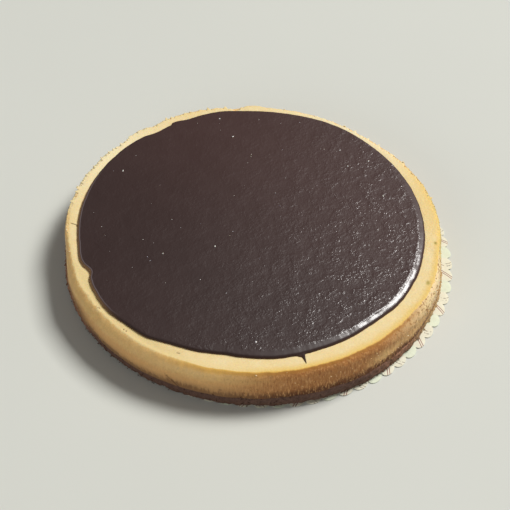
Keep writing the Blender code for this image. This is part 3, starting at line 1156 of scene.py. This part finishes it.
def pour_wave(place, sizes):
    """Slow waves of the chocolate's top."""
    return sizes.pour_wave * (noise.noise(place / 0.022) + 0.5 * noise.noise(place / 0.007) - 0.6)


def pour_foot(angle):
    """Lowest ring of the chocolate, just inside the cheese."""
    return pour_radius(angle) + swell(angle, TOE_SWELLS), RIM_LEVEL - HIDDEN_GAP, 0.0


def pour_ring(inset, toe, sizes):
    """Ring of the chocolate's edge; toe is the share of the toe that the ring follows."""
    def ring(angle):
        radius = pour_radius(angle) - inset
        place = polar(angle, radius)
        level = pour_top(place) - pour_drop(angle, inset, sizes)
        level += pour_wave(place, sizes) * ease(inset / WAVE_START)
        return radius + toe * swell(angle, TOE_SWELLS), level, inset / MILLIMETRE
    return ring


def inner_ring(share, sizes):
    """Ring of the chocolate's top; share is 1 at its edge zone and 0 at the middle."""
    def ring(angle):
        radius = (pour_radius(angle) - EDGE_ZONE) * share
        inset = pour_radius(angle) - radius
        place = polar(angle, radius)
        level = pour_top(place) - pour_drop(angle, inset, sizes) + pour_wave(place, sizes)
        return radius, level, inset / MILLIMETRE
    return ring


class CHEESECAKE_OT_pour_chocolate(bpy.types.Operator):
    """Build the poured chocolate with its rounded edge and its toe"""

    bl_idname = "cheesecake.pour_chocolate"
    bl_label = "Pour Chocolate"

    def execute(self, context):
        sizes = context.scene.cheesecake_sizes
        rings = [pour_foot]
        rings += [pour_ring(inset, toe, sizes) for inset, toe in WALL_RINGS]
        wall_width = WALL_RINGS[-1][0]
        for step in range(1, EDGE_STEPS + 1):
            inset = wall_width + (EDGE_ZONE - wall_width) * (step / EDGE_STEPS) ** EDGE_GROWTH
            rings.append(pour_ring(inset, 0.0, sizes))
        shares = [1.0 - step / CHOCOLATE_RINGS for step in range(1, CHOCOLATE_RINGS)]
        rings += [inner_ring(share, sizes) for share in (*shares, MIDDLE_SHARE)]
        shape = stack_rings(CHOCOLATE_SEGMENTS, rings, (TOE_SECTOR,))
        finish_piece(shape, "chocolate_top", "poured_chocolate", "chocolate_layer")
        return {"FINISHED"}


def base_ring(share, inset, sizes):
    """Ring of the biscuit base; share is 0 at its bottom and 1 at its top."""
    def ring(angle):
        level = blend(BASE_BOTTOM, CHEESE_BOTTOM, share)
        place = polar(angle, FOOT_RADIUS, level)
        crags = BASE_CRAG * noise.noise(place / CRUMB_SIZE)
        crumbs = noise.noise(place / 0.0019) + 0.6 * noise.noise(place / 0.0010)
        return foot_radius(angle) + crags + sizes.base_crumb_depth * crumbs - inset, level, share
    return ring


class CHEESECAKE_OT_press_biscuit(bpy.types.Operator):
    """Build the pressed biscuit base"""

    bl_idname = "cheesecake.press_biscuit"
    bl_label = "Press Biscuit"

    def execute(self, context):
        sizes = context.scene.cheesecake_sizes
        rings = [base_ring(0.0, BASE_UNDERCUT, sizes)]
        for step in range(BASE_STEPS + 1):
            share = step / BASE_STEPS
            rings.append(base_ring(share, BASE_ROUND * (2.0 * share - 1.0) ** 6, sizes))
        rings.append(base_ring(1.0, BASE_OVERLAP, sizes))
        shape = stack_rings(BASE_SEGMENTS, rings)
        finish_piece(shape, "biscuit_band", "biscuit_crumb", "biscuit_base")
        return {"FINISHED"}


def scallop_place(angle):
    """Where an angle lies within its scallop, from 0 to 1."""
    return (angle - math.radians(DOILY_TURN)) % SCALLOP_PITCH / SCALLOP_PITCH


def scallop_radius(angle):
    """Edge of the doily about its own centre, one arc for each scallop."""
    notch_radius = DOILY_TIP_RADIUS - DOILY_SCALLOP_DEPTH
    half_chord = notch_radius * math.sin(SCALLOP_PITCH / 2.0)
    depth = DOILY_TIP_RADIUS - notch_radius * math.cos(SCALLOP_PITCH / 2.0)
    arc_radius = (half_chord ** 2 + depth ** 2) / (2.0 * depth)
    centre_radius = DOILY_TIP_RADIUS - arc_radius
    offset = (scallop_place(angle) ** DOILY_LEAN - 0.5) * SCALLOP_PITCH
    reach = math.sqrt(arc_radius ** 2 - (centre_radius * math.sin(offset)) ** 2)
    return centre_radius * math.cos(offset) + reach


def paper_ring(inset, drop, sizes):
    """Ring of the doily, a distance in from its edge and a drop below its upper face."""
    def ring(angle):
        middle = DOILY_TIP_RADIUS - 0.5 * DOILY_SCALLOP_DEPTH
        radius = blend(scallop_radius(angle), middle, ease(inset / SCALLOP_FADE)) - inset
        petal = math.sin(math.pi * scallop_place(angle))
        petal *= math.exp(-((inset - PETAL_INSET) / PETAL_WIDTH) ** 2)
        lift = 0.5 + 0.5 * noise.noise(polar(angle, 1.0) * 9.0)
        droop = PAPER_DROOP * math.exp(-inset / DROOP_REACH) * (1.0 - lift)
        level = DOILY_TOP + sizes.paper_emboss * petal - droop - drop
        return radius, max(level, 0.0), inset / MILLIMETRE
    return ring


class CHEESECAKE_OT_cut_doily(bpy.types.Operator):
    """Build the scalloped paper doily"""

    bl_idname = "cheesecake.cut_doily"
    bl_label = "Cut Doily"

    def execute(self, context):
        sizes = context.scene.cheesecake_sizes
        rings = []
        for inset in reversed(PAPER_INSETS):
            drop = blend(sizes.paper_thickness, DOILY_TOP, ease(inset / PAPER_INSETS[-1]))
            rings.append(paper_ring(inset, drop, sizes))
        rings += [paper_ring(inset, 0.0, sizes) for inset in PAPER_INSETS]
        turn = math.radians(DOILY_TURN)
        shape = stack_rings(DOILY_SCALLOPS * SCALLOP_STEPS, rings, turn=turn)
        bmesh.ops.translate(shape, verts=shape.verts, vec=DOILY_CENTRE)
        finish_piece(shape, "doily_sheet", "doily_paper", "paper_doily")
        return {"FINISHED"}


class Heap:
    """Crumbs of one piece in one skin, and their random draws."""

    def __init__(self, seed, cheesy=True):
        self.draw = random.Random(seed)
        self.shape = bmesh.new()
        self.marked = ()
        if cheesy:
            layers = self.shape.verts.layers
            profile, tint = layers.float.new("profile"), layers.float_color.new("tint")
            self.marked = (profile, tint, layers.float.new("crumbly"))

    def angle(self):
        return math.radians(self.draw.uniform(0.0, 360.0))

    def add(self, place, size, outward, marks=()):
        """One crumb: a small uneven lump, half sunk in what it sits on."""
        draw = self.draw
        made = bmesh.ops.create_icosphere(self.shape, subdivisions=1, radius=size * 0.5)["verts"]
        stretch = Vector((draw.uniform(0.7, 1.3), draw.uniform(0.6, 1.1), draw.uniform(0.5, 0.9)))
        turn = draw.uniform(0.0, math.tau)
        spin = Matrix.Rotation(turn, 3, Vector([draw.gauss(0, 1) for _ in range(3)]))
        for vert in made:
            lump = 1.0 + 0.28 * noise.noise(vert.co * (1.4 / size) + place * 900.0)
            vert.co = spin @ Vector(value * share * lump for value, share in zip(vert.co, stretch))
            vert.co += place + outward * size * 0.15
            for layer, value in zip(self.marked, marks):
                vert[layer] = value


class CHEESECAKE_OT_scatter_crumbs(bpy.types.Operator):
    """Scatter the crumbs of the rim, the side and the biscuit base, and the specks on top"""

    bl_idname = "cheesecake.scatter_crumbs"
    bl_label = "Scatter Crumbs"

    def execute(self, context):
        sizes = context.scene.cheesecake_sizes
        self.crumble_rim(sizes)
        self.crumble_side(sizes)
        self.crumble_biscuit(sizes)
        self.scatter_specks(sizes)
        return {"FINISHED"}

    def crumble_rim(self, sizes):
        heap = Heap(11)
        draw = heap.draw
        placed = 0
        while placed < sizes.rim_crumbs:
            angle = heap.angle()
            if draw.random() > 0.05 + swell(angle, CRUMBLING_EDGES):
                continue
            radius, level, _ = shoulder_ring(draw.uniform(0.62, 0.95), sizes)(angle)
            outward = polar(angle, math.cos(EDGE_TILT), math.sin(EDGE_TILT))
            size = draw.choice((0.0004, 0.0005, 0.0007, 0.0009))
            marks = (draw.uniform(2.5, 2.9), RIM_CRUMB_PAINTED_LIGHT, 0.0)
            heap.add(polar(angle, radius, level), size, outward, marks)
            placed += 1
        for azimuth in LOOSE_CRUMBS:
            angle = math.radians(azimuth)
            radius, level, _ = shoulder_ring(EDGE_SHARE, sizes)(angle)
            size = draw.uniform(0.0011, 0.0018)
            marks = (draw.uniform(2.5, 2.9), RIM_CRUMB_PAINTED_LIGHT, 0.0)
            heap.add(polar(angle, radius, level), size, polar(angle, 1.0, 1.0), marks)
        finish_piece(heap.shape, "rim_crumbs", "baked_cheese")

    def crumble_side(self, sizes):
        heap = Heap(12)
        draw = heap.draw
        placed = 0
        while placed < sizes.side_crumbs:
            angle = heap.angle()
            if draw.random() > 0.08 + 0.25 * browning(angle) + 0.67 * crumbling(angle):
                continue
            radius, level, _ = side_ring(draw.random(), sizes)(angle)
            size = draw.choice((0.0004, 0.0005, 0.0006, 0.0008, 0.0011))
            marks = (0.6, NO_TINT, draw.uniform(0.2, 1.0))
            heap.add(polar(angle, radius, level), size, polar(angle, 1.0), marks)
            placed += 1
        finish_piece(heap.shape, "side_crumbs", "baked_cheese")

    def crumble_biscuit(self, sizes):
        heap = Heap(13, cheesy=False)
        draw = heap.draw
        for _ in range(sizes.biscuit_crumbs):
            angle = heap.angle()
            radius, level, _ = base_ring(1.12 * draw.random() ** 1.2, 0.0, sizes)(angle)
            size = draw.choice((0.0004, 0.0005, 0.0007, 0.0009, 0.0012))
            heap.add(polar(angle, radius, level), size, polar(angle, 1.0))
        finish_piece(heap.shape, "biscuit_crumbs", "biscuit_crumb")

    def scatter_specks(self, sizes):
        heap = Heap(14)
        draw = heap.draw
        places = [(Vector((x, y, 0.0)), SPECK_SIZE) for x, y in SPECKS]
        for _ in range(sizes.specks):
            angle = heap.angle()
            radius = (pour_radius(angle) - 0.007) * math.sqrt(draw.random())
            places.append((polar(angle, radius), draw.choice((0.00030, 0.00035, 0.00045, 0.0006))))
        for place, size in places:
            place.z = pour_top(place) + pour_wave(place, sizes)
            heap.add(place, size, Vector((0.0, 0.0, 1.0)), (2.6, SPECK_TINT_AND_GLINT, 0.0))
        finish_piece(heap.shape, "chocolate_specks", "baked_cheese")


def turned_camera():
    """Place and turn of the camera as one matrix."""
    outward = Vector((0.0, -math.cos(CAMERA_ELEVATION), math.sin(CAMERA_ELEVATION)))
    forward = -outward
    right = Vector((1.0, 0.0, 0.0))
    up = right.cross(forward)
    pan = Matrix.Rotation(CAMERA_PAN, 3, up)
    forward, right = pan @ forward, pan @ right
    tilt = Matrix.Rotation(CAMERA_TILT, 3, right)
    forward, up = tilt @ forward, tilt @ up
    roll = Matrix.Rotation(CAMERA_ROLL, 3, forward)
    right, up = roll @ right, roll @ up
    matrix = Matrix((right, up, -forward)).transposed().to_4x4()
    matrix.translation = CAMERA_TARGET + outward * CAMERA_DISTANCE
    return matrix


def add_camera(scene):
    camera = bpy.data.cameras.new("camera")
    camera.sensor_width = SENSOR_WIDTH
    camera.lens = FOCAL_PIXELS / PICTURE_SIDE * SENSOR_WIDTH
    camera.clip_start = 0.01
    camera.clip_end = 100.0
    holder = bpy.data.objects.new("camera", camera)
    scene.collection.objects.link(holder)
    holder.matrix_world = turned_camera()
    scene.camera = holder


def add_soft_light(scene, role, tone):
    """Square area light aimed at the cake, as the studio's values say for its role."""
    power, width, distance, azimuth, elevation = (
        getattr(scene.cheesecake_studio, role + value)
        for value in ("_power", "_width", "_distance", "_azimuth", "_elevation")
    )
    light = bpy.data.lights.new(role + "_light", "AREA")
    light.shape = "SQUARE"
    light.size = width
    light.energy = power
    light.color = tone
    holder = bpy.data.objects.new(light.name, light)
    scene.collection.objects.link(holder)
    towards = polar(azimuth, math.cos(elevation), math.sin(elevation))
    holder.matrix_world = (-towards).to_track_quat("-Z", "Y").to_matrix().to_4x4()
    holder.matrix_world.translation = towards * distance


class CHEESECAKE_OT_set_stage(bpy.types.Operator):
    """Set the floor, the lights and the camera"""

    bl_idname = "cheesecake.set_stage"
    bl_label = "Set Stage"

    def execute(self, context):
        scene = context.scene
        shape = bmesh.new()
        bmesh.ops.create_grid(shape, x_segments=4, y_segments=4, size=FLOOR_SIDE / 2.0)
        floor = make_object(shape, "floor", "floor")
        add_soft_light(scene, "key", KEY_COLOUR)
        add_soft_light(scene, "fill", FILL_COLOUR)
        world = bpy.data.worlds.new("studio_air")
        scene.world = world
        world.use_nodes = True
        air = world.node_tree.nodes["Background"]
        air.inputs["Color"].default_value = AIR_COLOUR
        air.inputs["Strength"].default_value = scene.cheesecake_studio.ambient
        scene.view_settings.view_transform = "Standard"
        add_camera(scene)
        return {"FINISHED"}


class CHEESECAKE_PT_panel(bpy.types.Panel):
    """Lists the steps and the values of the cheesecake"""

    bl_idname = "CHEESECAKE_PT_panel"
    bl_label = "Baked Cheesecake"
    bl_space_type = "VIEW_3D"
    bl_region_type = "UI"
    bl_category = "Cheesecake"

    def draw(self, context):
        layout = self.layout
        for operator in OPERATORS:
            layout.operator(operator.bl_idname)
        for pointer in POINTERS:
            box = layout.box()
            values = getattr(context.scene, pointer)
            for name in values.__annotations__:
                box.prop(values, name)


POINTERS = {
    "cheesecake_sizes": CheesecakeSizes,
    "cheesecake_colours": CheesecakeColours,
    "cheesecake_studio": CheesecakeStudio,
}
OPERATORS = (
    CHEESECAKE_OT_bake_cheese,
    CHEESECAKE_OT_pour_chocolate,
    CHEESECAKE_OT_press_biscuit,
    CHEESECAKE_OT_cut_doily,
    CHEESECAKE_OT_scatter_crumbs,
    CHEESECAKE_OT_set_stage,
)


CLASSES = (*POINTERS.values(), *OPERATORS, CHEESECAKE_PT_panel)


def register():
    for item in CLASSES:
        bpy.utils.register_class(item)
    for pointer, group in POINTERS.items():
        setattr(bpy.types.Scene, pointer, PointerProperty(type=group))


def unregister():
    for pointer in POINTERS:
        delattr(bpy.types.Scene, pointer)
    for item in reversed(CLASSES):
        bpy.utils.unregister_class(item)


def main():
    register()
    make_mottling_group()
    make_crumb_group()
    make_pinhole_group()
    bpy.ops.cheesecake.bake_cheese()
    bpy.ops.cheesecake.pour_chocolate()
    bpy.ops.cheesecake.press_biscuit()
    bpy.ops.cheesecake.cut_doily()
    bpy.ops.cheesecake.scatter_crumbs()
    bpy.ops.cheesecake.set_stage()


if __name__ == "__main__":
    main()
